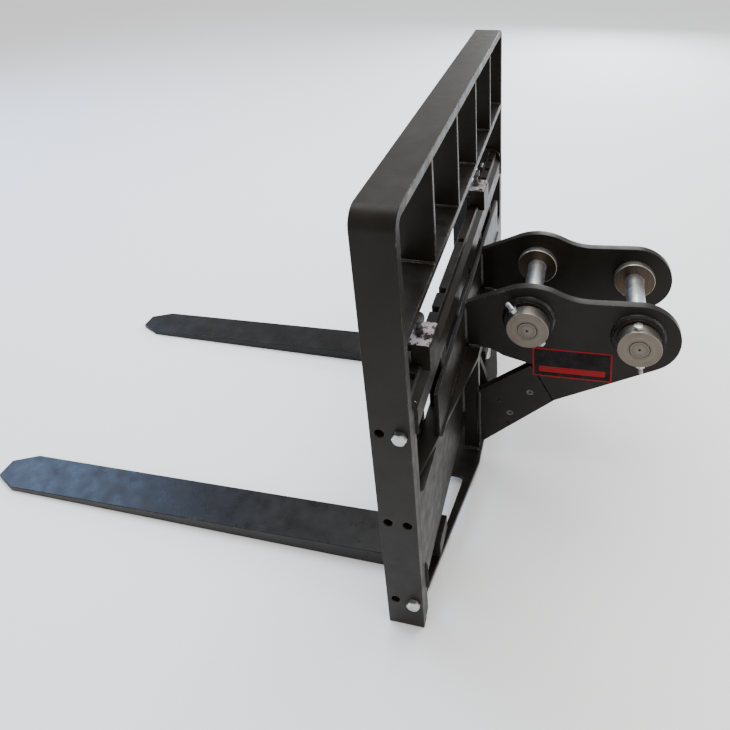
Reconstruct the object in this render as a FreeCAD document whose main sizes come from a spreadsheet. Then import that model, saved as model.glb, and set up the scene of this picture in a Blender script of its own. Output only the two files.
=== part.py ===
"""Pallet fork attachment: two hook-on forks on a class III carriage with a bolted load guard.

Millimetres. X runs along the carriage bars, the forks point along -Y, the hitch ears point along +Y
and Z is up. The forks and the guard legs stand on Z = 0. "Left" is +X, as seen from behind the hitch.
Outlines are drawn in carriage coordinates, where Y = 0 is the rear face of the carriage bars, and
every object is then placed at Y = carriage_y, so that the origin is under the middle of the whole.
"""
import FreeCAD, Part
import os
import re

import Sketcher

Vector = FreeCAD.Vector
Rotation = FreeCAD.Rotation

# ---------------------------------------------------------------------------------------------------
# Driving dimensions
# ---------------------------------------------------------------------------------------------------
SIZES = {
    # overall
    "frame_width": 1150.0,
    "frame_height": 975.0,
    "carriage_y": 344.5,
    # load guard, bent from flat bar
    "guard_depth": 75.0,
    "guard_thick": 20.0,
    "guard_bend": 34.0,
    "upright_thick": 12.0,
    "rail_top": 742.0,
    "rail_thick": 16.0,
    # end plates that carry the guard legs
    "end_thick": 16.0,
    "end_top": 592.0,
    "end_foot": 10.0,
    "end_round": 30.0,
    # bolt grid of leg and end plate
    "bolt_hole_r": 9.0,
    "bolt_low": 77.0,
    "bolt_pitch": 229.0,
    "bolt_rear": 19.0,
    "bolt_front": 57.0,
    "bolt_r": 8.0,
    "bolt_flats": 24.0,
    "bolt_head": 10.0,
    # class III carriage bars
    "bar_foot": 76.0,
    "bar_span": 508.0,
    "bar_tall": 76.0,
    "bar_thick": 33.0,
    "lip_thick": 21.0,
    "lip_tall": 16.0,
    "step_tall": 14.0,
    "notch_first": 212.0,
    "notch_pitch": 67.0,
    "notch_width": 18.0,
    "notch_reach": 18.0,
    "notch_deep": 16.0,
    "removal_gap": 124.0,
    # plates welded across the carriage
    "plate_thick": 12.0,
    "upper_web_thick": 10.0,
    "upper_web_half": 412.0,
    "upper_web_top": 480.0,
    "rib_deep": 30.0,
    "rib_thick": 10.0,
    "rib_pitch": 165.0,
    "shelf_foot": 356.0,
    "floor_foot": 15.0,
    "wing_rear": 46.0,
    "wing_knee": 165.0,
    "wing_end": 13.0,
    "column_deep": 40.0,
    "gusset_deep": 24.0,
    "gusset_toe": 14.0,
    "gusset_tall": 95.0,
    "slot_in": 216.0,
    "slot_out": 356.0,
    "slot_front": 26.0,
    "slot_rear_in": 16.0,
    "slot_rear_out": 0.0,
    "slot_round": 14.0,
    # hitch ears and struts
    "ear_out": 128.0,
    "ear_thick": 20.0,
    "pin_front_y": 160.0,
    "pin_front_z": 467.0,
    "pin_rear_y": 405.0,
    "pin_rear_z": 450.0,
    "lobe_reach": 93.0,
    "lobe_r": 90.0,
    "hump_r": 130.0,
    "dip_r": 150.0,
    "window_r": 40.0,
    # hitch pins and bosses
    "pin_r": 22.5,
    "pin_out": 172.0,
    "bore_gap": 0.05,
    "ring_r": 56.0,
    "ring_thick": 14.0,
    "collar_r": 48.0,
    "inner_boss_r": 50.0,
    "inner_boss_thick": 20.0,
    "cross_r": 6.0,
    "cross_x": 157.0,
    "cross_flats": 19.0,
    "cross_head": 8.0,
    "cross_length": 124.0,
    "centre_drill_r": 3.0,
    "centre_drill_deep": 8.0,
    # strut seam, fasteners and drain holes
    "seam_deep": 4.0,
    "screw_r": 9.0,
    "screw_shank_r": 5.0,
    "screw_sink": 5.0,
    "screw_deep": 16.0,
    "drain_r": 4.0,
    # blank label
    "label_long": 183.0,
    "label_tall": 84.0,
    "label_thick": 1.0,
    # forks
    "fork_left_x": 413.0,
    "fork_right_x": -212.0,
    "fork_width": 100.0,
    "fork_thick": 42.0,
    "fork_gap": 2.0,
    "fork_top": 616.0,
    "blade_long": 1110.0,
    "tip_thick": 12.0,
    "tip_half": 23.0,
    "tip_back": 62.0,
    "heel_r": 38.0,
    "throat_r": 18.0,
    # fork hooks
    "hook_width": 70.0,
    "hook_gap": 1.0,
    "hook_wall": 18.0,
    "top_hook_tall": 45.0,
    "bottom_hook_tall": 31.0,
    "hook_drop": 13.0,
    # lock pins
    "lock_y": 22.0,
    "lock_r": 6.0,
    "lock_lift": 14.0,
    "lock_engage": 13.0,
    "lock_clear": 0.5,
    "room_r": 10.0,
    "room_floor": 8.0,
    "seat_r": 9.5,
    "seat_tall": 4.0,
    "bush_sink": 9.0,
    "bush_neck_r": 8.5,
    "bush_neck_tall": 13.0,
    "knob_r": 12.5,
    "knob_tall": 14.0,
    "knob_round": 3.0,
    "spring_wire": 1.6,
    "spring_turns": 4.0,
}

doc = FreeCAD.newDocument("PalletForks")
sheet = doc.addObject("Spreadsheet::Sheet", "Sizes")
for row, (alias, number) in enumerate(SIZES.items(), start=1):
    sheet.set("A%d" % row, alias)
    sheet.set("B%d" % row, str(number))
    sheet.setAlias("B%d" % row, alias)
doc.recompute()

NODES = []
PLANE_AXES = {"XY_Plane": (0, 1), "XZ_Plane": (0, 2), "YZ_Plane": (1, 2)}
SIDES = (("left", 1), ("right", -1))


# ---------------------------------------------------------------------------------------------------
# Helpers
# ---------------------------------------------------------------------------------------------------
def bound(text):
    """An expression over the sheet: every alias in the text gets the sheet's name in front."""
    return re.sub(r"[a-z_]+", lambda word: "Sizes." + word.group() if word.group() in SIZES else word.group(),
                  str(text))


def size(text):
    """The present value of an expression over the sheet."""
    return float(sheet.evalExpression(bound(text)))


def bind(item, path, text):
    """Bind a property of an object to an expression over the sheet."""
    item.setExpression(path, bound(text))


def place(item, shift_x="0", shift_y="0", shift_z="0", turn=None):
    """Place an object by expressions, with an optional fixed rotation."""
    shift = Vector(size(shift_x), size(shift_y), size(shift_z))
    item.Placement = FreeCAD.Placement(shift, turn or Rotation())
    bind(item, "Placement.Base.x", shift_x)
    bind(item, "Placement.Base.y", shift_y)
    bind(item, "Placement.Base.z", shift_z)
    return item


def node(item, label, shift_x="0", shift_z="0"):
    """Name an object as a sub-part and move it from carriage coordinates to the part's frame."""
    item.Label = label
    place(item, shift_x, "carriage_y", shift_z)
    NODES.append(item)
    return item


def new_sketch(body, name, plane, lift=None):
    """A sketch on one of the body's own origin planes, lifted along its normal if asked."""
    sketch = body.newObject("Sketcher::SketchObject", name)
    origin_plane = next(item for item in body.Origin.OriginFeatures if item.Role == plane)
    sketch.AttachmentSupport = (origin_plane, [""])
    sketch.MapMode = "FlatFace"
    if lift is not None:
        sketch.AttachmentOffset = FreeCAD.Placement(Vector(0, 0, size(lift)), Rotation())
        bind(sketch, "AttachmentOffset.Base.z", lift)
    return sketch


def pin_point(sketch, geometry, position, across, along):
    """Fix one point of a sketch at two expressions measured from its origin."""
    for kind, text in (("DistanceX", across), ("DistanceY", along)):
        index = sketch.addConstraint(Sketcher.Constraint(kind, -1, 1, geometry, position, size(text)))
        bind(sketch, "Constraints[%d]" % index, text)


def add_polygon(sketch, corners):
    """A closed polygon whose corners are pairs of expressions."""
    points = [Vector(size(across), size(along), 0) for across, along in corners]
    first = sketch.GeometryCount
    count = len(points)
    for index in range(count):
        sketch.addGeometry(Part.LineSegment(points[index], points[(index + 1) % count]), False)
    for index in range(count):
        following = first + (index + 1) % count
        sketch.addConstraint(Sketcher.Constraint("Coincident", first + index, 2, following, 1))
    for index, (across, along) in enumerate(corners):
        pin_point(sketch, first + index, 1, across, along)


def add_circle(sketch, across, along, radius):
    """A circle whose centre and radius are expressions."""
    centre = Vector(size(across), size(along), 0)
    index = sketch.addGeometry(Part.Circle(centre, Vector(0, 0, 1), size(radius)), False)
    pin_point(sketch, index, 3, across, along)
    constraint = sketch.addConstraint(Sketcher.Constraint("Radius", index, size(radius)))
    bind(sketch, "Constraints[%d]" % constraint, radius)


def pad_plate(name, plane, corners, thickness, symmetric=False):
    """A body padded from one polygon."""
    body = doc.addObject("PartDesign::Body", name)
    sketch = new_sketch(body, name + "_outline", plane)
    add_polygon(sketch, corners)
    pad = body.newObject("PartDesign::Pad", name + "_pad")
    pad.Profile = sketch
    if symmetric:
        pad.SideType = "Symmetric"
    bind(pad, "Length", thickness)
    doc.recompute()
    return body


def pocket(body, name, plane, draw, depth=None, lift=None):
    """Cut a drawn sketch out of the body, right through or to a depth, and prove that it cuts."""
    before = body.Shape.Volume
    sketch = new_sketch(body, name + "_outline", plane, lift)
    draw(sketch)
    cut = body.newObject("PartDesign::Pocket", name)
    cut.Profile = sketch
    if depth is None:
        cut.Type = "ThroughAll"
        cut.SideType = "Symmetric"
    else:
        bind(cut, "Length", depth)
    doc.recompute()
    assert body.Shape.Volume < before - 1.0, name + " cuts nothing"


def round_edges(body, name, plane, spots, radius):
    """Fillet the edges that run through the given corners, square to the plane."""
    tip = body.Tip
    axes = PLANE_AXES[plane]
    targets = [tuple(size(text) for text in spot) for spot in spots]
    found = []
    for index, edge in enumerate(tip.Shape.Edges, start=1):
        ends = [vertex.Point for vertex in edge.Vertexes]
        for target in targets:
            if len(ends) == 2 and all(abs(end[axes[0]] - target[0]) < 0.01 and
                                      abs(end[axes[1]] - target[1]) < 0.01 for end in ends):
                found.append("Edge%d" % index)
    assert len(found) >= len(targets), name + " finds too few edges"
    fillet = body.newObject("PartDesign::Fillet", name)
    fillet.Base = (tip, found)
    bind(fillet, "Radius", radius)
    doc.recompute()
    assert fillet.isValid(), name + " fails"


def box(name, long_x, long_y, long_z):
    """A Part box with its three sizes bound."""
    item = doc.addObject("Part::Box", name)
    for path, text in (("Length", long_x), ("Width", long_y), ("Height", long_z)):
        bind(item, path, text)
    return item


def cylinder(name, radius, height):
    """A Part cylinder along its own Z."""
    item = doc.addObject("Part::Cylinder", name)
    bind(item, "Radius", radius)
    bind(item, "Height", height)
    return item


def prism(name, flats, height):
    """A hexagonal prism along its own Z, sized across its flats."""
    item = doc.addObject("Part::Prism", name)
    item.Polygon = 6
    bind(item, "Circumradius", "(%s) / sqrt(3)" % flats)
    bind(item, "Height", height)
    return item


def fuse(name, *items):
    """One solid from several."""
    item = doc.addObject("Part::MultiFuse", name)
    item.Shapes = list(items)
    return item


def subtract(name, base, *tools):
    """A solid with one or more tools cut out of it."""
    tool = tools[0] if len(tools) == 1 else fuse(name + "_tools", *tools)
    item = doc.addObject("Part::Cut", name)
    item.Base = base
    item.Tool = tool
    return item


def group(name, items):
    """Identical separate solids kept in one sub-part."""
    item = doc.addObject("Part::Compound", name)
    item.Links = items
    return item


def ring(name, outer, inner, height):
    """A flat ring along its own Z."""
    return subtract(name, cylinder(name + "_outer", outer, height), cylinder(name + "_bore", inner, height))


ALONG_X = Rotation(Vector(0, 1, 0), 90)
AGAINST_X = Rotation(Vector(0, 1, 0), -90)


def along_x(sign):
    """The rotation that lays a Z-built piece along +X or -X."""
    return ALONG_X if sign > 0 else AGAINST_X


def bolt_rows():
    """Heights of the three bolt rows, from the bottom."""
    return ["bolt_low + %d * bolt_pitch" % row for row in range(3)]


def draw_bolt_grid(sketch, radius):
    """Two columns of three holes, as in a guard leg and its end plate."""
    for height in bolt_rows():
        for column in ("bolt_rear", "bolt_front"):
            add_circle(sketch, "-" + column, height, radius)


def draw_clearance_holes(sketch):
    """The guard leg's clearance holes."""
    draw_bolt_grid(sketch, "bolt_hole_r")


def draw_tapped_holes(sketch):
    """The end plate's holes, tapped for the guard bolts."""
    draw_bolt_grid(sketch, "bolt_r + bore_gap")


# ---------------------------------------------------------------------------------------------------
# Load guard
# ---------------------------------------------------------------------------------------------------
def make_guard():
    """The bent flat-bar hoop, its lower rail and the four uprights between them."""
    half = "frame_width / 2"
    inner = "frame_width / 2 - guard_thick"
    under = "frame_height - guard_thick"
    corners = [("-" + half, "0"), ("-" + half, "frame_height"), (half, "frame_height"), (half, "0"),
               (inner, "0"), (inner, under), ("-(%s)" % inner, under), ("-(%s)" % inner, "0")]
    hoop = pad_plate("guard_frame", "XZ_Plane", corners, "guard_depth")
    round_edges(hoop, "outer_bend", "XZ_Plane", corners[1:3], "guard_bend")
    round_edges(hoop, "inner_bend", "XZ_Plane", corners[5:7], "guard_bend - guard_thick")
    pocket(hoop, "leg_holes", "YZ_Plane", draw_clearance_holes)
    node(hoop, "guard_frame")

    rail = box("rail", "frame_width - 2 * guard_thick", "guard_depth", "rail_thick")
    node(group("lower_rail", [place(rail, "guard_thick - frame_width / 2", "-guard_depth",
                                    "rail_top - rail_thick")]), "guard_lower_rail")

    for number in range(1, 5):
        flat = box("upright_%d" % number, "upright_thick", "guard_depth", "%s - rail_top" % under)
        middle = "(frame_width - guard_thick) * (0.5 - %d / 5)" % number
        place(flat, middle + " - upright_thick / 2", "-guard_depth", "rail_top")
        node(group("upright_node_%d" % number, [flat]), "guard_upright_%d" % number)


# ---------------------------------------------------------------------------------------------------
# Carriage
# ---------------------------------------------------------------------------------------------------
INNER_HALF = "(frame_width / 2 - guard_thick - end_thick)"
BAR_TOP = "(bar_foot + bar_span)"


def make_end_plates():
    """The upright plates that the bars are welded to and the guard legs are bolted to."""
    corners = [("-guard_depth", "end_foot"), ("-guard_depth", "end_top"), ("0", "end_top"), ("0", "end_foot")]
    for side, sign in SIDES:
        plate = pad_plate("end_plate_" + side, "YZ_Plane", corners, "end_thick")
        round_edges(plate, "end_corner_" + side, "YZ_Plane", corners[2:3], "end_round")
        pocket(plate, "end_holes_" + side, "YZ_Plane", draw_tapped_holes)
        start = INNER_HALF if sign > 0 else "-%s - end_thick" % INNER_HALF
        node(plate, "end_plate_" + side, start)


def draw_notches(sketch):
    """The middle notch and five lock notches on each half, open to the front of the lip."""
    places = ["0"]
    for step in range(5):
        places += ["notch_first + %d * notch_pitch" % step, "-(notch_first + %d * notch_pitch)" % step]
    front = "-bar_thick - notch_width"
    for middle in places:
        near = "%s - notch_width / 2" % middle
        far = "%s + notch_width / 2" % middle
        add_polygon(sketch, [(near, front), (far, front), (far, "notch_reach - bar_thick"),
                             (near, "notch_reach - bar_thick")])


def make_bars():
    """Top bar with a hook lip and lock notches, bottom bar with its lip turned down."""
    top = [("-bar_thick", BAR_TOP + " - bar_tall"), ("-bar_thick", BAR_TOP),
           ("lip_thick - bar_thick", BAR_TOP), ("lip_thick - bar_thick", BAR_TOP + " - lip_tall"),
           ("0", BAR_TOP + " - lip_tall - step_tall"), ("0", BAR_TOP + " - bar_tall")]
    bar = pad_plate("carriage_top_bar", "YZ_Plane", top, "2 * " + INNER_HALF, symmetric=True)
    pocket(bar, "lock_notches", "XY_Plane", draw_notches, "notch_deep", BAR_TOP)
    node(bar, "carriage_top_bar")

    bottom = [("-bar_thick", "bar_foot + bar_tall"), ("-bar_thick", "bar_foot"),
              ("lip_thick - bar_thick", "bar_foot"), ("lip_thick - bar_thick", "bar_foot + lip_tall"),
              ("0", "bar_foot + lip_tall + step_tall"), ("0", "bar_foot + bar_tall")]
    bar = pad_plate("carriage_bottom_bar", "YZ_Plane", bottom, "2 * " + INNER_HALF, symmetric=True)

    def draw_removal_gap(sketch):
        add_polygon(sketch, [("-removal_gap / 2", "0"), ("removal_gap / 2", "0"),
                             ("removal_gap / 2", "bar_foot + lip_tall"),
                             ("-removal_gap / 2", "bar_foot + lip_tall")])
    pocket(bar, "removal_notch", "XZ_Plane", draw_removal_gap)
    node(bar, "carriage_bottom_bar")


def wing_outline():
    """Tapered plate outline: deep behind the hitch, narrow at the end plates."""
    half = INNER_HALF
    return [("-" + half, "-bar_thick"), (half, "-bar_thick"), (half, "-wing_end"), ("wing_knee", "wing_rear"),
            ("-wing_knee", "wing_rear"), ("-" + half, "-wing_end")]


def make_cross_plates():
    """Webs, shelf and floor plate that tie the bars, the end plates and the hitch together."""
    web = box("lower_web_box", "2 * " + INNER_HALF, "plate_thick", "shelf_foot - bar_foot - bar_tall")
    place(web, "-" + INNER_HALF, "-plate_thick", "bar_foot + bar_tall")
    node(group("lower_web_group", [web]), "carriage_lower_web")

    web = box("upper_web_box", "2 * upper_web_half", "upper_web_thick",
              "upper_web_top - shelf_foot - plate_thick")
    place(web, "-upper_web_half", "0", "shelf_foot + plate_thick")
    node(group("upper_web_group", [web]), "carriage_upper_web")

    ribs = []
    for number, across in enumerate(("-2 * rib_pitch", "-rib_pitch", "rib_pitch", "2 * rib_pitch")):
        rib = box("web_rib_%d" % number, "rib_thick", "rib_deep",
                  BAR_TOP + " - bar_tall - shelf_foot - plate_thick")
        ribs.append(place(rib, across + " - rib_thick / 2", "-rib_deep", "shelf_foot + plate_thick"))
    node(group("web_rib_group", ribs), "web_ribs")

    node(pad_plate("shelf", "XY_Plane", wing_outline(), "plate_thick"), "wing_shelf", "0", "shelf_foot")

    floor = pad_plate("floor", "XY_Plane", wing_outline(), "plate_thick")

    slots = []
    for sign in ("", "-"):
        slots.append([(sign + "slot_in", "-slot_front"), (sign + "slot_out", "-slot_front"),
                      (sign + "slot_out", "slot_rear_out"), (sign + "slot_in", "slot_rear_in")])

    def draw_slots(sketch):
        for corners in slots:
            add_polygon(sketch, corners)
    pocket(floor, "floor_slots", "XY_Plane", draw_slots)
    inner_corners = [corners[index] for corners in slots for index in (0, 3)]
    outer_corners = [corners[index] for corners in slots for index in (1, 2)]
    round_edges(floor, "slot_inner_ends", "XY_Plane", inner_corners, "slot_round")
    round_edges(floor, "slot_outer_ends", "XY_Plane", outer_corners, "slot_round / 2 + slot_rear_out")
    node(floor, "wing_floor", "0", "floor_foot")


def ear_start(sign):
    """X of the low face of an ear, strut or column."""
    return "ear_out - ear_thick" if sign > 0 else "-ear_out"


def make_hitch_feet():
    """The column that the strut pushes against, under the left ear, and the foot gusset under the right."""
    top_of_floor = "floor_foot + plate_thick"
    column = box("column", "ear_thick", "column_deep", "shelf_foot - floor_foot - plate_thick")
    place(column, ear_start(1), "0", top_of_floor)
    node(group("column_group", [column]), "hitch_column")

    corners = [("0", top_of_floor), ("gusset_deep", top_of_floor),
               ("gusset_deep", top_of_floor + " + gusset_toe"), ("0", top_of_floor + " + gusset_tall")]
    node(pad_plate("foot_gusset", "YZ_Plane", corners, "ear_thick"), "hitch_foot_gusset", ear_start(-1))


# ---------------------------------------------------------------------------------------------------
# Hitch
# ---------------------------------------------------------------------------------------------------
SHELF_TOP = "shelf_foot + plate_thick"
EAR_TOP = ("pin_front_y + 6", "pin_front_z + 101")
EAR_DIP = ("pin_front_y + 101", "pin_front_z + 55")
EAR_TAIL_TOP = ("pin_rear_y + lobe_reach", "pin_rear_z + 88")
EAR_TAIL_LOW = ("pin_rear_y + lobe_reach", "pin_rear_z - 61")
SEAM_LOW = ("pin_front_y + 65", "pin_front_z - 238")
SEAM_TOP = ("pin_front_y + 11", "pin_front_z - 134")
SEAM_LOW_EDGE = ("pin_front_y + 62.2", "pin_front_z - 240.7")
SEAM_TOP_EDGE = ("pin_front_y + 7.7", "pin_front_z - 136.7")
WINDOW_KNEE = ("pin_front_y - 60", "pin_front_z - 117")
WINDOW_TOP = ("pin_front_y - 86", "pin_front_z - 101")
STRUT_SCREWS = (("wing_rear + 121", "floor_foot + 229"), ("wing_rear + 73", "floor_foot + 154"))
STRUT_DRAINS = (("wing_rear + 46", "floor_foot + 192"), ("wing_rear + 67", "floor_foot + 121"))


def make_ears():
    """The two hump-backed ears, with a bore for each hitch pin."""
    front = "upper_web_thick"
    corners = [(front, "pin_front_z + 23"), EAR_TOP, EAR_DIP, EAR_TAIL_TOP, EAR_TAIL_LOW, SEAM_LOW, SEAM_TOP,
               WINDOW_KNEE, WINDOW_TOP, ("wing_rear", SHELF_TOP), (front, SHELF_TOP)]

    def draw_pin_holes(sketch):
        add_circle(sketch, "pin_front_y", "pin_front_z", "pin_r + bore_gap")
        add_circle(sketch, "pin_rear_y", "pin_rear_z", "pin_r + bore_gap")
    for side, sign in SIDES:
        ear = pad_plate("ear_" + side, "YZ_Plane", corners, "ear_thick")
        round_edges(ear, "hump_" + side, "YZ_Plane", [EAR_TOP], "hump_r")
        round_edges(ear, "dip_" + side, "YZ_Plane", [EAR_DIP], "dip_r")
        round_edges(ear, "tail_" + side, "YZ_Plane", [EAR_TAIL_TOP, EAR_TAIL_LOW], "lobe_r")
        round_edges(ear, "window_" + side, "YZ_Plane", [WINDOW_KNEE, WINDOW_TOP], "window_r")
        pocket(ear, "pin_holes_" + side, "YZ_Plane", draw_pin_holes)
        node(ear, "hitch_ear_" + side, ear_start(sign))


def make_strut():
    """The diagonal plate from the left ear down to the column, with drain holes and countersunk screws."""
    corners = [SEAM_TOP, SEAM_LOW, ("column_deep", "floor_foot + 35"), ("column_deep", "floor_foot + 211")]

    def draw_strut_holes(sketch):
        for across, along in STRUT_DRAINS:
            add_circle(sketch, across, along, "drain_r")

    def draw_seam(sketch):
        add_polygon(sketch, [SEAM_TOP, SEAM_LOW, SEAM_LOW_EDGE, SEAM_TOP_EDGE])
    strut = pad_plate("strut", "YZ_Plane", corners, "ear_thick")
    pocket(strut, "drains", "YZ_Plane", draw_strut_holes)
    pocket(strut, "seam_groove", "YZ_Plane", draw_seam, "seam_deep", "ear_thick")
    shanks = []
    screws = []
    for number, (across, along) in enumerate(STRUT_SCREWS):
        for purpose, users in (("seat_", shanks), ("screw_", screws)):
            cone = doc.addObject("Part::Cone", "%scone_%d" % (purpose, number))
            bind(cone, "Radius1", "screw_shank_r")
            bind(cone, "Radius2", "screw_r")
            bind(cone, "Height", "screw_sink")
            place(cone, shift_z="screw_deep - screw_sink")
            shank = cylinder("%sshank_%d" % (purpose, number), "screw_shank_r", "screw_deep - screw_sink")
            whole = fuse("%s%d" % (purpose, number), cone, shank)
            users.append(place(whole, "ear_out - screw_deep", across, along, ALONG_X))
    placed = place(strut, ear_start(1))
    node(subtract("strut_cut", placed, *shanks), "hitch_strut")
    node(group("strut_screws_group", screws), "strut_screws")


PINS = (("front", "pin_front_y", "pin_front_z", 129), ("rear", "pin_rear_y", "pin_rear_z", 97))


def cross_turn(tilt):
    """The rotation that points a Z-built piece along the tilt, measured from +Y towards +Z."""
    return Rotation(Vector(1, 0, 0), tilt - 90)


def cross_hole(name, across, along, tilt):
    """The tool for the cross bolt's hole, right through collar and pin."""
    tool = cylinder(name, "cross_r + bore_gap", "2 * collar_r + 8")
    carrier = group(name + "_turned", [place(tool, shift_z="-collar_r - 4")])
    return place(carrier, "cross_x", across, along, cross_turn(tilt))


def make_bosses():
    """Painted rings and turned bosses on the ears, and the bare collars outside them."""
    for side, sign in SIDES:
        rings = []
        bosses = []
        for name, across, along, tilt in PINS:
            tag = name + "_" + side
            turn = along_x(sign)
            outer = ring("ring_" + tag, "ring_r", "pin_r + bore_gap", "ring_thick")
            rings.append(place(outer, "%d * ear_out" % sign, across, along, turn))
            inner = ring("boss_" + tag, "inner_boss_r", "pin_r + bore_gap", "inner_boss_thick")
            bosses.append(place(inner, "%d * (ear_out - ear_thick - inner_boss_thick)" % sign,
                                across, along, turn))
            collar = ring("collar_" + tag, "collar_r", "pin_r + bore_gap", "pin_out - ear_out - ring_thick")
            place(collar, "%d * (ear_out + ring_thick)" % sign, across, along, turn)
            if sign > 0:
                hole = cross_hole("collar_hole_" + tag, across, along, tilt)
                collar = subtract("collar_cut_" + tag, collar, hole)
            else:
                collar = group("collar_group_" + tag, [collar])
            node(collar, "pin_collar_" + tag)
        node(group("ring_group_" + side, rings), "boss_rings_" + side)
        node(group("boss_group_" + side, bosses), "inner_bosses_" + side)


def make_hitch_pins():
    """The two hitch pins, each held by a cross bolt and nut through the left collar."""
    bolts = []
    nuts = []
    for name, across, along, tilt in PINS:
        rod = cylinder("rod_" + name, "pin_r", "2 * pin_out")
        centres = [cylinder("centre_low_" + name, "centre_drill_r", "centre_drill_deep"),
                   place(cylinder("centre_high_" + name, "centre_drill_r", "centre_drill_deep"),
                         shift_z="2 * pin_out - centre_drill_deep")]
        drilled = place(subtract("drilled_" + name, rod, *centres), "-pin_out", across, along, ALONG_X)
        pin = subtract("pin_" + name, drilled, cross_hole("pin_hole_" + name, across, along, tilt))
        node(pin, "hitch_pin_" + name)

        shank = cylinder("cross_shank_" + name, "cross_r", "cross_length")
        head = place(prism("cross_head_" + name, "cross_flats", "cross_head"), shift_z="cross_length")
        body = place(fuse("cross_body_" + name, shank, head), shift_z="collar_r - cross_length")
        carrier = group("cross_turned_" + name, [body])
        flip = 180 if name == "front" else 0
        bolts.append(place(carrier, "cross_x", across, along, cross_turn(tilt + flip)))
        nut = subtract("cross_nut_" + name, prism("cross_hex_" + name, "cross_flats", "cross_head + 2"),
                       cylinder("cross_thread_" + name, "cross_r", "cross_head + 2"))
        place(nut, shift_z="-collar_r - cross_head - 2")
        carrier = group("cross_nut_turned_" + name, [nut])
        nuts.append(place(carrier, "cross_x", across, along, cross_turn(tilt + flip)))
    node(group("cross_bolt_group", bolts), "pin_cross_bolts")
    node(group("cross_nut_group", nuts), "pin_cross_nuts")


LABEL_TILT = 2


def make_label():
    """A blank label plate on the outside of the left ear."""
    plate = box("label_plate", "label_thick", "label_long", "label_tall")
    place(plate, "ear_out", "pin_front_y + 13", "pin_front_z - 165", Rotation(Vector(1, 0, 0), LABEL_TILT))
    node(group("label_group", [plate]), "blank_label")


# ---------------------------------------------------------------------------------------------------
# Guard fasteners
# ---------------------------------------------------------------------------------------------------
def make_guard_bolts():
    """Four hex bolts through the guard legs, screwed into the end plates' lowest and highest rear holes."""
    bolts = []
    for side, sign in SIDES:
        for number, height in enumerate((bolt_rows()[0], bolt_rows()[2])):
            tag = "%s_%d" % (side, number)
            shank = cylinder("guard_shank_" + tag, "bolt_r", "guard_thick + end_thick")
            place(shank, shift_z="-(guard_thick + end_thick)")
            bolt = fuse("guard_bolt_" + tag, shank, prism("guard_head_" + tag, "bolt_flats", "bolt_head"))
            bolts.append(place(bolt, "%d * frame_width / 2" % sign, "-bolt_rear", height, along_x(sign)))
    node(group("guard_bolt_group", bolts), "guard_bolts")


# ---------------------------------------------------------------------------------------------------
# Forks with hooks and lock pins
# ---------------------------------------------------------------------------------------------------
SHANK_REAR = "(-bar_thick - fork_gap)"
SHANK_FRONT = "(-bar_thick - fork_gap - fork_thick)"
TIP = "(-bar_thick - fork_gap - fork_thick - blade_long)"
HOOK_FOOT = "(bar_foot + bar_span + hook_gap)"
HOOK_TOP = "(bar_foot + bar_span + hook_gap + top_hook_tall)"


def make_fork(side, place_x):
    """An L-shaped fork: upright shank, tapered blade and pointed tip."""
    corners = [(SHANK_REAR, "0"), (SHANK_REAR, "fork_top"), (SHANK_FRONT, "fork_top"),
               (SHANK_FRONT, "fork_thick"), (TIP, "tip_thick"), (TIP, "0")]
    fork = pad_plate("fork_" + side, "YZ_Plane", corners, "fork_width", symmetric=True)
    round_edges(fork, "heel_" + side, "YZ_Plane", corners[0:1], "heel_r")
    round_edges(fork, "throat_" + side, "YZ_Plane", corners[3:4], "throat_r")

    def draw_tip_cuts(sketch):
        for sign in ("", "-"):
            add_polygon(sketch, [(sign + "tip_half", TIP), (sign + "(fork_width / 2 + 1)", TIP),
                                 (sign + "(fork_width / 2 + 1)", TIP + " + tip_back"),
                                 (sign + "fork_width / 2", TIP + " + tip_back")])
    pocket(fork, "tip_cuts_" + side, "XY_Plane", draw_tip_cuts)
    node(fork, "fork_" + side, place_x)


def make_hooks(side, place_x):
    """The hooks welded to the shank, one over the top bar and one under the bottom bar."""
    lip_rear = "(lip_thick - bar_thick)"
    outer = "(lip_thick - bar_thick + 2 + hook_wall)"
    top = [(SHANK_REAR, HOOK_FOOT), (SHANK_REAR, HOOK_TOP), (outer, HOOK_TOP),
           (outer, HOOK_FOOT + " - hook_drop"), (lip_rear + " + 2", HOOK_FOOT + " - hook_drop"),
           (lip_rear + " + 2", HOOK_FOOT)]
    hook = pad_plate("top_hook_" + side, "YZ_Plane", top, "hook_width", symmetric=True)
    round_edges(hook, "top_hook_round_" + side, "YZ_Plane", top[2:3], "hook_drop / 2")

    def draw_lock_bore(sketch):
        add_circle(sketch, "0", "-lock_y", "lock_r + bore_gap")
    pocket(hook, "lock_bore_" + side, "XY_Plane", draw_lock_bore)

    def draw_spring_room(sketch):
        add_circle(sketch, "0", "-lock_y", "room_r")
    pocket(hook, "spring_room_" + side, "XY_Plane", draw_spring_room, "top_hook_tall - room_floor", HOOK_TOP)
    node(hook, "fork_top_hook_" + side, place_x)

    ceiling = "(bar_foot - hook_gap)"
    floor = "(bar_foot - hook_gap - bottom_hook_tall)"
    low = [(SHANK_REAR, ceiling), (SHANK_REAR, floor), (outer, floor), (outer, ceiling + " + hook_drop"),
           (lip_rear + " + 2", ceiling + " + hook_drop"), (lip_rear + " + 2", ceiling)]
    hook = pad_plate("bottom_hook_" + side, "YZ_Plane", low, "hook_width", symmetric=True)
    round_edges(hook, "bottom_hook_round_" + side, "YZ_Plane", low[2:3], "hook_drop / 2")
    node(hook, "fork_bottom_hook_" + side, place_x)


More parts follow.
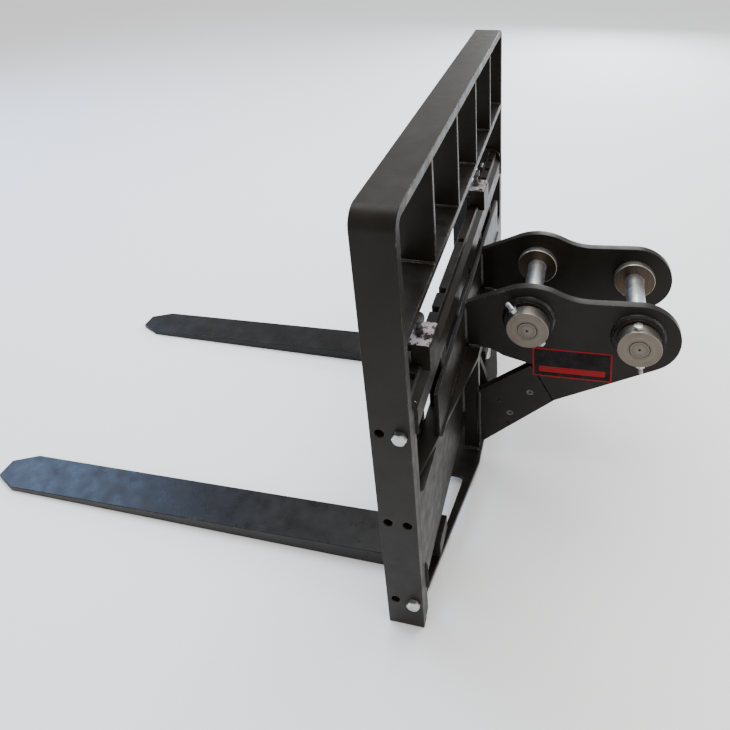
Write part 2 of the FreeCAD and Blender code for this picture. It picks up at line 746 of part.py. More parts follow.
def make_lock(side, place_x):
    """The lock pin, drawn parked above the notch, with its knob, its spring and the bush that guides it."""
    sleeve = place(cylinder("bush_sleeve_" + side, "room_r - bore_gap", "bush_sink"), shift_z="-bush_sink")
    neck = cylinder("bush_neck_" + side, "bush_neck_r", "bush_neck_tall")
    bore = place(cylinder("bush_bore_" + side, "lock_r + bore_gap", "bush_sink + bush_neck_tall"),
                 shift_z="-bush_sink")
    bush = subtract("bush_cut_" + side, fuse("bush_body_" + side, sleeve, neck), bore)
    place(bush, "0", "-lock_y", HOOK_TOP)
    node(group("bush_group_" + side, [bush]), "lock_bush_" + side, place_x)

    pin_foot = BAR_TOP + " + lock_lift - lock_engage"
    seat_foot = HOOK_FOOT + " + room_floor + lock_lift + lock_clear"
    knob_foot = HOOK_TOP + " + bush_neck_tall + lock_lift + lock_clear"
    shaft_tall = "%s - (%s)" % (knob_foot, pin_foot)
    shaft = place(cylinder("lock_shaft_" + side, "lock_r", shaft_tall), shift_z=pin_foot)
    seat = place(cylinder("lock_seat_" + side, "seat_r", "seat_tall"), shift_z=seat_foot)
    pin = place(fuse("lock_pin_solid_" + side, shaft, seat), shift_y="-lock_y")
    node(group("lock_pin_group_" + side, [pin]), "lock_pin_" + side, place_x)

    disc = place(cylinder("knob_disc_" + side, "knob_r", "knob_tall"), "0", "-lock_y", knob_foot)
    knob = doc.addObject("Part::Fillet", "knob_solid_" + side)
    knob.Base = disc
    doc.recompute()
    rims = [index for index, edge in enumerate(disc.Shape.Edges, start=1) if len(edge.Vertexes) == 1]
    knob.Edges = [(index, size("knob_round"), size("knob_round")) for index in rims]
    node(group("knob_group_" + side, [knob]), "lock_knob_" + side, place_x)

    make_spring(side, place_x, seat_foot + " + seat_tall")


def make_spring(side, place_x, seat_top):
    """The compressed coil spring between the pin's seat and the underside of the bush."""
    spring = doc.addObject("PartDesign::Body", "spring_" + side)
    section = new_sketch(spring, "spring_section_" + side, "XZ_Plane")
    add_circle(section, "lock_r + spring_wire", "spring_wire / 2 + bore_gap", "spring_wire / 2")
    coil = spring.newObject("PartDesign::AdditiveHelix", "spring_coil_" + side)
    coil.Profile = section
    coil.ReferenceAxis = (section, ["V_Axis"])
    coil.Mode = "height-turns-angle"
    bind(coil, "Turns", "spring_turns")
    bind(coil, "Height", "%s - bush_sink - (%s) - spring_wire - 2 * bore_gap" % (HOOK_TOP, seat_top))
    doc.recompute()
    place(spring, "0", "-lock_y", seat_top)
    node(group("spring_group_" + side, [spring]), "lock_spring_" + side, place_x)


# ---------------------------------------------------------------------------------------------------
# Build, check and write
# ---------------------------------------------------------------------------------------------------
make_guard()
make_end_plates()
make_bars()
make_cross_plates()
make_hitch_feet()
make_ears()
make_strut()
make_bosses()
make_hitch_pins()
make_label()
make_guard_bolts()
for fork_side, fork_x in (("left", "fork_left_x"), ("right", "fork_right_x")):
    make_fork(fork_side, fork_x)
    make_hooks(fork_side, fork_x)
    make_lock(fork_side, fork_x)
doc.recompute()

reach_front = size("bar_thick + fork_gap + fork_thick + blade_long")
reach_rear = size("pin_rear_y + lobe_reach")
assert abs(size("carriage_y") - (reach_front - reach_rear) / 2) < 0.01, "carriage_y isn't the middle"

for item in doc.Objects:
    if "Invalid" in item.State or "Error" in item.State:
        raise RuntimeError("%s failed: %s" % (item.Name, item.State))
for item in NODES:
    if item.Shape.isNull() or not item.Shape.isValid() or not item.Shape.Solids:
        raise RuntimeError("%s has no valid solid" % item.Label)

os.makedirs("parts", exist_ok=True)
for item in NODES:
    item.Shape.exportStep("parts/%s.step" % item.Label)
print("%d sub-parts written" % len(NODES))
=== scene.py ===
"""Looks for the pallet fork attachment: painted steel, welds, machined collars and fasteners.

Metres, in the part's own frame: X along the carriage, forks towards -Y, hitch towards +Y, Z up.
"""

import math

import bmesh
import bpy
from mathutils import Matrix, Vector


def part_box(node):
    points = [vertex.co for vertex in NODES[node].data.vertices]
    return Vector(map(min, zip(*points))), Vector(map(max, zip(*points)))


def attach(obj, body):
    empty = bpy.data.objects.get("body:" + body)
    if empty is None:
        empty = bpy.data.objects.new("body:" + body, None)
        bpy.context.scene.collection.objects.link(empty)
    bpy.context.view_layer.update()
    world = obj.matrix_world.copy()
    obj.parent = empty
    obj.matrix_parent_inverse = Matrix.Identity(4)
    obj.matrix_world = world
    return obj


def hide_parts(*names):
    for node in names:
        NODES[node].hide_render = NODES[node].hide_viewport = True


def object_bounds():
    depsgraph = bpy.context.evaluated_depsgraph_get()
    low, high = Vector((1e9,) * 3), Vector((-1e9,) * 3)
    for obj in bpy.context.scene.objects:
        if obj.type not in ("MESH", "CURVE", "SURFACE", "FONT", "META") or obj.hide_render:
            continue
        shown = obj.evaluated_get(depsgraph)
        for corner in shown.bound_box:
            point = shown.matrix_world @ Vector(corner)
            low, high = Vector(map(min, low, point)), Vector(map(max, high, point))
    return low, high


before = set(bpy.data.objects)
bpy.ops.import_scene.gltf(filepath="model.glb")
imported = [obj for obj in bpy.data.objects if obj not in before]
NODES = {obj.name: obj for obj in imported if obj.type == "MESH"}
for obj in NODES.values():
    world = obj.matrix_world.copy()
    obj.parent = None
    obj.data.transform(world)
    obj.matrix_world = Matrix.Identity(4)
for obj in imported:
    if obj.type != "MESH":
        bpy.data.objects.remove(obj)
CAD_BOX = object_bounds()
MM = 0.001
SIDES = (("left", 1), ("right", -1))
PINS = ("front", "rear")


# ---------------------------------------------------------------------------------------------------
# Shader graphs
# ---------------------------------------------------------------------------------------------------
class Graph:
    """A material's node graph with short calls for the nodes used here."""

    def __init__(self, name):
        self.material = bpy.data.materials.new(name)
        self.material.use_nodes = True
        self.tree = self.material.node_tree
        self.shader = self.tree.nodes["Principled BSDF"]
        self.place = self.add("ShaderNodeTexCoord").outputs["Object"]

    def add(self, kind, **settings):
        node = self.tree.nodes.new(kind)
        for key, value in settings.items():
            setattr(node, key, value)
        return node

    def feed(self, socket, value):
        if isinstance(value, bpy.types.NodeSocket):
            self.tree.links.new(value, socket)
        else:
            socket.default_value = value

    def math(self, operation, first, second=0.0, clamp=False):
        node = self.add("ShaderNodeMath", operation=operation, use_clamp=clamp)
        self.feed(node.inputs[0], first)
        self.feed(node.inputs[1], second)
        return node.outputs[0]

    def vector(self, operation, first, second=(0, 0, 0)):
        node = self.add("ShaderNodeVectorMath", operation=operation)
        self.feed(node.inputs[0], first)
        self.feed(node.inputs[1], second)
        return node.outputs["Value" if operation in ("LENGTH", "DOT_PRODUCT") else "Vector"]

    def noise(self, scale, detail=3.0, rough=0.5, stretch=(1, 1, 1), where=None):
        """Noise over the object, finer along the axes with a larger stretch."""
        node = self.add("ShaderNodeTexNoise")
        self.feed(node.inputs["Vector"], self.vector("MULTIPLY", where or self.place, stretch))
        node.inputs["Scale"].default_value = scale
        node.inputs["Detail"].default_value = detail
        node.inputs["Roughness"].default_value = rough
        return node.outputs["Fac"]

    def spread(self, value, low, high, to_low=0.0, to_high=1.0):
        """Map a value from one range to another, clamped."""
        node = self.add("ShaderNodeMapRange")
        for socket, number in zip(node.inputs, (value, low, high, to_low, to_high)):
            self.feed(socket, number)
        return node.outputs[0]

    def blend(self, amount, first, second):
        """Mix two colours."""
        node = self.add("ShaderNodeMix", data_type="RGBA")
        self.feed(node.inputs["Factor"], amount)
        for socket, value in ((node.inputs[6], first), (node.inputs[7], second)):
            self.feed(socket, value if isinstance(value, bpy.types.NodeSocket) else (*value, 1.0))
        return node.outputs[2]

    def bump(self, height, distance, strength=1.0, normal=None):
        node = self.add("ShaderNodeBump")
        node.inputs["Strength"].default_value = strength
        node.inputs["Distance"].default_value = distance
        self.feed(node.inputs["Height"], height)
        if normal is not None:
            self.feed(node.inputs["Normal"], normal)
        return node.outputs[0]

    def facing_up(self):
        """1 on level top faces, 0 on walls and undersides."""
        parts = self.add("ShaderNodeSeparateXYZ")
        self.feed(parts.inputs[0], self.add("ShaderNodeNewGeometry").outputs["Normal"])
        return self.spread(parts.outputs["Z"], 0.5, 0.95)

    def edges(self, radius):
        """1 along sharp edges, fading over the radius."""
        soft = self.add("ShaderNodeBevel", samples=4)
        soft.inputs["Radius"].default_value = radius
        plain = self.add("ShaderNodeNewGeometry").outputs["Normal"]
        return self.spread(self.vector("DOT_PRODUCT", soft.outputs[0], plain), 0.99, 0.86)

    def finish(self, **sockets):
        for name, value in sockets.items():
            socket = self.shader.inputs[name.replace("_", " ")]
            if isinstance(value, tuple) and len(value) == 3:
                value = (*value, 1.0)
            self.feed(socket, value)
        return self.material


STEEL = (0.42, 0.41, 0.39)
RUST = (0.10, 0.045, 0.02)
DUST = (0.16, 0.15, 0.14)
SCRAPED = (0.42, 0.36, 0.36)
STAIN = (0.10, 0.07, 0.045)
GRIME = (0.12, 0.10, 0.08)
# painted shade: the dark ring in the groove between a pin's end and its collar
RIM_SHADE = (0.012, 0.010, 0.008)


def painted(name, colour, gloss, shine, scuffs=0.0, worn_top=0.0):
    """Sprayed semi-gloss enamel with orange peel, dust on top faces and chipped edges.

    Scuffs are long fine scratches along Y. A worn top is scraped to bare metal in patches.
    """
    graph = Graph(name)
    cloudy = graph.noise(7.0, 4.0)
    lighter = tuple(channel * 1.5 + 0.002 for channel in colour)
    tone = graph.blend(graph.spread(cloudy, 0.35, 0.7), colour, lighter)

    dusty = graph.math("MULTIPLY", graph.facing_up(), graph.spread(graph.noise(22.0, 6.0), 0.45, 0.8))
    tone = graph.blend(graph.math("MULTIPLY", dusty, 0.04), tone, DUST)

    speckle = graph.spread(graph.noise(260.0, 3.0), 0.54, 0.6)
    patchy = graph.spread(graph.noise(11.0, 2.0), 0.46, 0.62)
    chips = graph.math("MULTIPLY", graph.math("MULTIPLY", graph.edges(2.2 * MM), speckle), patchy)
    bare = graph.blend(graph.noise(70.0), STEEL, RUST)
    tone = graph.blend(chips, tone, bare)

    rough = graph.spread(graph.noise(34.0, 5.0), 0.3, 0.75, gloss - 0.05, gloss + 0.12)
    if scuffs:
        lines = graph.noise(5.0, 2.0, stretch=(120, 1.5, 120))
        worn = graph.math("MULTIPLY", graph.spread(lines, 0.62, 0.72),
                          graph.spread(graph.noise(6.0), 0.45, 0.7))
        worn = graph.math("MULTIPLY", worn, scuffs)
        tone = graph.blend(worn, tone, STEEL)
        rough = graph.math("ADD", rough, graph.math("MULTIPLY", worn, 0.2))
    if worn_top:
        patches = graph.spread(graph.noise(75.0, 6.0, 0.7), 0.44, 0.52)
        scraped = graph.math("MULTIPLY", graph.facing_up(), patches)
        tone = graph.blend(graph.math("MULTIPLY", scraped, worn_top), tone, SCRAPED)
        rough = graph.math("ADD", rough, graph.math("MULTIPLY", scraped, 0.25))
    rough = graph.math("ADD", rough, graph.math("MULTIPLY", dusty, 0.10))

    peel = graph.bump(graph.noise(420.0, 2.0), 0.25 * MM, 0.35)
    sag = graph.bump(graph.noise(60.0, 2.0), 0.6 * MM, 0.25, peel)
    metal = graph.math("MULTIPLY", chips, 0.8)
    return graph.finish(Base_Color=tone, Roughness=rough, Metallic=metal, Specular_IOR_Level=shine,
                        Normal=sag)


def turned(name, lit_side_colour, shaded_face_colour, centre, gloss=0.34, rim=None):
    """Bare lathe-turned steel: fine rings round an axis along X through the centre.

    Its sides are painted lighter and its end faces darker, a painted highlight and painted shade for how
    light falls on them. Where a rim radius is given, a ring of painted shade sits just inside it.
    """
    graph = Graph(name)
    offset = graph.vector("SUBTRACT", graph.place, tuple(centre))
    flat = graph.vector("MULTIPLY", offset, (0, 1, 1))
    along = graph.vector("MULTIPLY", offset, (1, 0, 0))
    reach = graph.math("ADD", graph.vector("LENGTH", flat), graph.vector("LENGTH", along))
    line = graph.add("ShaderNodeCombineXYZ")
    graph.feed(line.inputs[0], reach)
    rings = graph.noise(900.0, 4.0, where=line.outputs[0])
    bands = graph.noise(120.0, 2.0, where=line.outputs[0])
    stain = graph.spread(graph.noise(38.0, 5.0), 0.5, 0.78)

    parts = graph.add("ShaderNodeSeparateXYZ")
    graph.feed(parts.inputs[0], graph.add("ShaderNodeNewGeometry").outputs["Normal"])
    outward = graph.math("ABSOLUTE", parts.outputs["X"])
    # end faces take the shaded colour and sides the lit colour: painted shade and painted highlight by
    # which way a face points
    on_face = graph.spread(outward, 0.80, 0.97)
    colour = graph.blend(on_face, lit_side_colour, shaded_face_colour)
    darker = graph.blend(on_face, tuple(channel * 0.72 for channel in lit_side_colour),
                         tuple(channel * 0.6 for channel in shaded_face_colour))
    tone = graph.blend(graph.spread(bands, 0.35, 0.7), colour, darker)
    stained = graph.math("MULTIPLY", stain, graph.spread(on_face, 0.0, 1.0, 0.08, 0.45))
    tone = graph.blend(stained, tone, STAIN)
    if rim:
        # a ring of painted shade just inside the rim on end faces and chamfers, standing for the shaded
        # groove between pin and collar
        near_rim = graph.spread(graph.vector("LENGTH", flat), rim - 1.9 * MM, rim - 1.3 * MM)
        off_side = graph.spread(outward, 0.08, 0.25)
        tone = graph.blend(graph.math("MULTIPLY", near_rim, off_side), tone, RIM_SHADE)
    rough = graph.spread(rings, 0.3, 0.7, gloss - 0.08, gloss + 0.14)
    rough = graph.math("ADD", rough, graph.math("MULTIPLY", stain, 0.12))
    grooves = graph.bump(rings, 0.03 * MM, 0.5)
    return graph.finish(Base_Color=tone, Roughness=rough, Metallic=1.0, Normal=grooves)


def plated(name, colour, gloss):
    """Zinc-plated or oiled hardware steel with a mottled film."""
    graph = Graph(name)
    mottle = graph.noise(140.0, 4.0)
    darker = tuple(channel * 0.7 for channel in colour)
    tone = graph.blend(graph.spread(mottle, 0.35, 0.7), colour, darker)
    grime = graph.math("MULTIPLY", graph.spread(graph.noise(60.0, 5.0), 0.52, 0.75), 0.5)
    tone = graph.blend(grime, tone, GRIME)
    rough = graph.spread(mottle, 0.3, 0.7, gloss - 0.06, gloss + 0.14)
    pits = graph.bump(graph.noise(840.0, 2.0), 0.08 * MM, 0.5)
    return graph.finish(Base_Color=tone, Roughness=rough, Metallic=1.0, Normal=pits)


def film(name, colour, gloss):
    """Printed label film with slight fading and fine surface scratches."""
    graph = Graph(name)
    faded = tuple(channel * 0.75 + 0.01 for channel in colour)
    tone = graph.blend(graph.spread(graph.noise(45.0, 4.0), 0.4, 0.7), colour, faded)
    scratches = graph.spread(graph.noise(30.0, 2.0, stretch=(1, 1, 24)), 0.66, 0.72)
    tone = graph.blend(graph.math("MULTIPLY", scratches, 0.08), tone, DUST)
    rough = graph.spread(graph.noise(80.0, 3.0), 0.3, 0.7, gloss - 0.04, gloss + 0.12)
    ripple = graph.bump(graph.noise(160.0, 2.0), 0.2 * MM, 0.3)
    return graph.finish(Base_Color=tone, Roughness=rough, Metallic=0.0, Specular_IOR_Level=0.06,
                        Normal=ripple)


FRAME_BLACK = (0.0066, 0.0050, 0.0034)
FRAME_PAINT = painted("frame_enamel", FRAME_BLACK, gloss=0.36, shine=0.14)
HOOK_PAINT = painted("hook_enamel", FRAME_BLACK, gloss=0.36, shine=0.14, worn_top=0.8)
WELD_PAINT = painted("weld_enamel", (0.0048, 0.0041, 0.0034), gloss=0.30, shine=0.30)
FORK_PAINT = painted("fork_enamel", (0.0034, 0.0032, 0.0032), gloss=0.27, shine=0.19, scuffs=0.05)
ZINC = plated("zinc_plate", (0.52, 0.53, 0.52), gloss=0.32)
DARK_STEEL = plated("oiled_steel", (0.09, 0.088, 0.085), gloss=0.36)
SPRING_STEEL = plated("spring_wire", (0.35, 0.34, 0.32), gloss=0.28)
LABEL_DARK = film("label_field", (0.006, 0.004, 0.004), gloss=0.42)
LABEL_RED = film("label_border", (0.24, 0.006, 0.010), gloss=0.45)


# ---------------------------------------------------------------------------------------------------
# Mesh building
# ---------------------------------------------------------------------------------------------------
ROUND = 48


def axis_frame(place, direction):
    """A frame at a place whose Z points along a direction."""
    turn = Vector(direction).to_track_quat("Z", "Y").to_matrix().to_4x4()
    return Matrix.Translation(place) @ turn


def circle(radius, height, count=ROUND):
    """Points of a level ring."""
    steps = [2 * math.pi * index / count for index in range(count)]
    return [Vector((radius * math.cos(angle), radius * math.sin(angle), height)) for angle in steps]


def hexagon(flats, height, limit=None):
    """Points of a hexagonal ring, its corners trimmed to a limiting radius."""
    points = []
    for index in range(ROUND):
        angle = 2 * math.pi * index / ROUND
        off_middle = angle % (math.pi / 3) - math.pi / 6
        radius = flats / 2 / math.cos(off_middle)
        if limit is not None:
            radius = min(radius, limit)
        points.append(Vector((radius * math.cos(angle), radius * math.sin(angle), height)))
    return points


def stack(mesh, place, rings, caps=(True, True)):
    """Skin a stack of rings, closed at its ends where asked."""
    layers = [[mesh.verts.new(place @ point) for point in ring] for ring in rings]
    count = len(layers[0])
    for lower, upper in zip(layers, layers[1:]):
        for index in range(count):
            following = (index + 1) % count
            mesh.faces.new((lower[index], lower[following], upper[following], upper[index]))
    if caps[0]:
        mesh.faces.new(list(reversed(layers[0])))
    if caps[1]:
        mesh.faces.new(layers[-1])


def thread(radius, pitch, start, end):
    """Rings of a screw thread that fades into a plain end."""
    depth = 0.6 * pitch
    steps = 6
    rings = []
    total = int(round((end - start) / pitch * steps))
    for step in range(total + 1):
        height = start + pitch * step / steps
        fade = min(1.0, (total - step) / steps)
        ring = []
        for index in range(ROUND):
            turn = index / ROUND
            wave = abs(2 * ((height / pitch - turn) % 1.0) - 1)
            here = radius - depth * (1 - wave) - 0.5 * depth * (1 - fade)
            angle = 2 * math.pi * turn
            ring.append(Vector((here * math.cos(angle), here * math.sin(angle), height)))
        rings.append(ring)
    return rings


def chamfered(flats, height, both=False):
    """Rings of a hexagonal head, or of a nut chamfered at both ends, with turned 30 degree chamfers."""
    corner = flats / math.sqrt(3)
    face = 0.95 * flats / 2
    slope = math.tan(math.radians(30))
    steps = 5
    limits = [face + (corner - face) * step / steps for step in range(steps + 1)]
    rings = []
    if both:
        rings += [hexagon(flats, (limit - face) * slope, limit) for limit in limits]
    else:
        washer_face = 0.5 * MM
        rings += [circle(face, 0.0), circle(face, washer_face), hexagon(flats, washer_face)]
    rings += [hexagon(flats, height - (limit - face) * slope, limit) for limit in reversed(limits)]
    return rings


def new_piece(name, mesh, body, materials, replaces=(), sharp=35):
    """Turn a built mesh into a piece that rides on a body."""
    bmesh.ops.remove_doubles(mesh, verts=mesh.verts, dist=1e-7)
    bmesh.ops.recalc_face_normals(mesh, faces=mesh.faces)
    data = bpy.data.meshes.new(name)
    mesh.to_mesh(data)
    mesh.free()
    data.shade_smooth()
    data.set_sharp_from_angle(angle=math.radians(sharp))
    piece = bpy.data.objects.new(name, data)
    bpy.context.scene.collection.objects.link(piece)
    for material in materials:
        data.materials.append(material)
    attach(piece, body)
    if replaces:
        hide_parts(*replaces)
    return piece


def middle(node):
    """The centre of a node's box."""
    low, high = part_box(node)
    return (low + high) / 2


# ---------------------------------------------------------------------------------------------------
# CAD nodes: softened edges and finishes
# ---------------------------------------------------------------------------------------------------
def soften(node, width, turned_part):
    """Round a node's sharp edges a little by modifiers. Its flat faces stay flat, its mesh untouched.

    Merging each flat face into one keeps long thin triangles out of the rounding.
    """
    piece = NODES[node]
    stored = piece.data.attributes.get("custom_normal")
    if stored:
        piece.data.attributes.remove(stored)
    piece.data.shade_smooth()
    weld = piece.modifiers.new("weld", "WELD")
    weld.merge_threshold = 0.02 * MM
    whole_faces = piece.modifiers.new("whole_faces", "DECIMATE")
    whole_faces.decimate_type = "DISSOLVE"
    whole_faces.angle_limit = math.radians(0.5)
    bevel = piece.modifiers.new("bevel", "BEVEL")
    bevel.width = width
    bevel.segments = 2
    bevel.limit_method = "ANGLE"
    bevel.angle_limit = math.radians(40)
    bevel.use_clamp_overlap = False
    if turned_part:
        bevel.harden_normals = True
        return
    flatten = piece.modifiers.new("flatten", "WEIGHTED_NORMAL")
    flatten.mode = "FACE_AREA_WITH_ANGLE"
    flatten.weight = 50


def finish_node(node, material, width=None, turned_part=False):
    """Give a node its material and, where asked, softened edges."""
    piece = NODES[node]
    piece.data.materials.clear()
    piece.data.materials.append(material)
    if width:
        soften(node, width, turned_part)


def finish_nodes():
    """Every CAD node that stays gets its finish by name."""
    for name in NODES:
        if name.startswith(("pin_collar", "inner_bosses", "hitch_pin")):
            continue
        if name in ("fork_left", "fork_right"):
            finish_node(name, FORK_PAINT, 1.6 * MM)
        elif name.startswith("lock_spring"):
            finish_node(name, SPRING_STEEL)
        elif name.startswith(("lock_pin", "lock_bush")):
            finish_node(name, DARK_STEEL, 0.5 * MM)
        elif name == "hitch_strut":
            finish_node(name, FRAME_PAINT)
        elif name.startswith("fork_top_hook"):
            finish_node(name, HOOK_PAINT, 1.2 * MM)
        elif name.startswith(("boss_rings", "fork_bottom_hook")):
            finish_node(name, FRAME_PAINT, 1.2 * MM)
        else:
            finish_node(name, FRAME_PAINT, 1.4 * MM)
    for pin in PINS:
        low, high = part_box("hitch_pin_" + pin)
        centre = (low + high) / 2
        radius = (high.z - low.z) / 2
        # the pin's sides are painted bright bluish-white as a painted reflection, its end faces dark as
        # painted shade
        ground = turned("ground_pin_" + pin, (0.86, 0.88, 0.91), (0.15, 0.13, 0.11), centre, 0.30, radius)
        finish_node("hitch_pin_" + pin, ground)
        # the collar's sides are painted lighter than its end faces: painted highlight and painted shade
        collar = turned("turned_collar_" + pin, (0.34, 0.31, 0.27), (0.15, 0.13, 0.108), centre)
        for side, _ in SIDES:
            finish_node("pin_collar_%s_%s" % (pin, side), collar, 1.6 * MM, True)
    # the bosses' sides are painted bright as a painted highlight, their faces near black as a painted
    # reflection of the dark ear
    boss = turned("turned_boss", (0.62, 0.60, 0.56), (0.085, 0.066, 0.048), middle("hitch_pin_front"))
    for side, _ in SIDES:
        finish_node("inner_bosses_" + side, boss, 1.4 * MM, True)


# ---------------------------------------------------------------------------------------------------
# Fasteners
# ---------------------------------------------------------------------------------------------------
M16 = {"radius": 8 * MM, "flats": 24 * MM, "head": 10 * MM, "nut": 13 * MM, "pitch": 2 * MM}
M12 = {"radius": 6 * MM, "flats": 19 * MM, "head": 8 * MM, "nut": 10 * MM, "pitch": 1.75 * MM}


def add_bolt(mesh, place, sizes, length):
    """A hex bolt whose head's underside is at the frame's origin and whose shank runs along -Z."""
    stack(mesh, place, chamfered(sizes["flats"], sizes["head"]))
    plain = 0.45 * length
    overlap = 0.5 * MM
    runout = 0.5 * MM
    below = place @ Matrix.Rotation(math.pi, 4, "X")
    rings = [circle(sizes["radius"], -overlap), circle(sizes["radius"], plain)]
    rings += thread(sizes["radius"], sizes["pitch"], plain + runout, length)
    stack(mesh, below, rings)


def add_nut(mesh, place, sizes):
    """A hex nut with its foot at the frame's origin, chamfered at both ends, with a countersunk bore."""
    outer = chamfered(sizes["flats"], sizes["nut"], both=True)
    lead = 0.8 * MM
    bore = sizes["radius"] * 0.94
    top = sizes["nut"]
    inner = [circle(bore + lead, top), circle(bore, top - lead), circle(bore, lead),
             circle(bore + lead, 0.0)]
    rings = outer + inner
    stack(mesh, place, rings + rings[:1], caps=(False, False))


def guard_fasteners():
    """The four bolts that hold the guard to the end plates."""
    mesh = bmesh.new()
    low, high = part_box("guard_bolts")
    corner = M16["flats"] / math.sqrt(3)
    guard_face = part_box("guard_frame")[1].x
    length = guard_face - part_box("end_plate_left")[0].x
    for _, sign in SIDES:
        for height in (low.z + corner, high.z - corner):
            place = axis_frame((sign * guard_face, (low.y + high.y) / 2, height), (sign, 0, 0))
            add_bolt(mesh, place, M16, length)
    new_piece("guard_bolts_threaded", mesh, "frame", [ZINC], ["guard_bolts"])


# degrees from +Y towards +Z to each cross bolt's head
CROSS_TILT = {"front": -51, "rear": 97}
CROSS_BOLT_LONG = 124 * MM


def cross_fasteners():
    """The cross bolt and nut through each left collar and its pin."""
    bolts = bmesh.new()
    nuts = bmesh.new()
    for pin in PINS:
        collar = "pin_collar_%s_left" % pin
        low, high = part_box(collar)
        centre = (low + high) / 2
        reach = (high.z - low.z) / 2
        angle = math.radians(CROSS_TILT[pin])
        along = Vector((0, math.cos(angle), math.sin(angle)))
        add_bolt(bolts, axis_frame(centre + along * reach, along), M12, CROSS_BOLT_LONG)
        add_nut(nuts, axis_frame(centre - along * reach, -along), M12)
    new_piece("cross_bolts_threaded", bolts, "frame", [ZINC], ["pin_cross_bolts"])
    new_piece("cross_nuts_chamfered", nuts, "frame", [ZINC], ["pin_cross_nuts"])


def strut_screws():
    """The strut's two countersunk screws with hex sockets."""
    low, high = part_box("strut_screws")
    rim = 9 * MM
    shank = 5 * MM
    socket = 6 * MM
    face = -0.6 * MM
    rings = [circle(shank, low.x - high.x), circle(shank, -5 * MM), circle(rim - 0.4 * MM, face - 0.3 * MM),
             circle(rim - 0.7 * MM, face), circle(0.62 * socket, face), hexagon(socket, face - 0.4 * MM),
             hexagon(socket, -4 * MM), circle(0.1 * socket, -5 * MM)]
    mesh = bmesh.new()
    for across, height in ((low.y + rim, low.z + rim), (high.y - rim, high.z - rim)):
        stack(mesh, axis_frame((high.x, across, height), (1, 0, 0)), rings)
    new_piece("strut_screws_socketed", mesh, "frame", [DARK_STEEL], ["strut_screws"])


GROOVES = 30
GROOVE_CUT = 0.04
# a knob's outline: share of its radius, share of its height, share of the full groove's depth
KNOB_OUTLINE = ((0.50, 0.0, 0), (0.80, 0.0, 0), (0.88, 0.06, 0), (0.94, 0.14, 0.5), (1.0, 0.22, 1),
                (1.0, 0.72, 1), (0.97, 0.84, 0.5), (0.90, 0.93, 0), (0.78, 1.0, 0), (0.45, 0.99, 0),
                (0.36, 0.95, 0), (0.05, 0.95, 0))


def knurled(radius, height, cut):
    """A level ring with every fourth point pulled in to make the knurl's grooves."""
    ring = circle(radius, height, 4 * GROOVES)
    for point in ring[::4]:
        point.x *= 1 - cut
        point.y *= 1 - cut
    return ring


def lock_knobs():
    """Knurled pull knobs on the lock pins."""
    for side, _ in SIDES:
        low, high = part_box("lock_knob_" + side)
        centre = (low + high) / 2
        radius = (high.x - low.x) / 2
        tall = high.z - low.z
        rings = [knurled(radius * wide, tall * up, GROOVE_CUT * cut) for wide, up, cut in KNOB_OUTLINE]
        mesh = bmesh.new()
        stack(mesh, Matrix.Translation((centre.x, centre.y, low.z)), rings)
        new_piece("lock_knob_knurled_" + side, mesh, "lock_" + side, [DARK_STEEL],
                  ["lock_knob_" + side])


# ---------------------------------------------------------------------------------------------------
# Label
# ---------------------------------------------------------------------------------------------------
LABEL_BORDER = 3.6 * MM
# the band's left edge, foot, width and height as shares of the label
BAND = (0.08, 0.17, 0.84, 0.20)


def rounded_panel(mesh, place, across, up, radius, top, material, inset=0.0):
    """A panel with round corners and a softened rim, standing on its face up to the top."""
    wide = across.length - 2 * inset
    tall = up.length - 2 * inset
    ways = (across.normalized(), up.normalized(), across.cross(up).normalized())
    corners = ((wide - radius, tall - radius, 0), (radius, tall - radius, 90), (radius, radius, 180),
               (wide - radius, radius, 270))

    steps = 6

    def outline(shrink, height):
        points = []
        for centre_u, centre_v, start in corners:
            for step in range(steps + 1):
                angle = math.radians(start + 90 * step / steps)
                reach = radius - shrink
                point = (ways[0] * (inset + centre_u + reach * math.cos(angle)) +
                         ways[1] * (inset + centre_v + reach * math.sin(angle)) + ways[2] * height)
                points.append(place + point)
        return points

    before = set(mesh.faces)
    soft = 0.12 * MM
    stack(mesh, Matrix.Identity(4), [outline(0, 0.0), outline(0, top - soft), outline(soft, top)])
    for face in set(mesh.faces) - before:
        face.material_index = material


def blank_label():
    """A dark blank label with a plain red border and one plain band."""
    points = [vertex.co for vertex in NODES["blank_label"].data.vertices]
    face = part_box("hitch_ear_left")[1].x
    low_left = min(points, key=lambda point: (point.z, -point.x))
    low_right = max(points, key=lambda point: (point.y, -point.x))
    high_left = min(points, key=lambda point: (point.y, -point.x))
    start = Vector((face, low_left.y, low_left.z))
    across = Vector((0, low_right.y - low_left.y, low_right.z - low_left.z))
    up = Vector((0, high_left.y - low_left.y, high_left.z - low_left.z))
    band_left, band_foot, band_wide, band_tall = BAND
    band_start = start + across * band_left + up * band_foot
    dark, red = 0, 1
    mesh = bmesh.new()
    rounded_panel(mesh, start, across, up, radius=4 * MM, top=0.55 * MM, material=red)
    rounded_panel(mesh, start, across, up, radius=2 * MM, top=0.75 * MM, material=dark, inset=LABEL_BORDER)
    rounded_panel(mesh, band_start, across * band_wide, up * band_tall, radius=3 * MM, top=0.95 * MM,
                  material=red)
    new_piece("blank_label_film", mesh, "frame", [LABEL_DARK, LABEL_RED], ["blank_label"])


# ---------------------------------------------------------------------------------------------------
# Welds
# ---------------------------------------------------------------------------------------------------
# a bead's spacing of cross sections, its ripple, the points of one section, and how deep its root sits
STEP = 1.3 * MM
RIPPLE = 3.4 * MM
ARC = 7
BURIED = 0.3 * MM
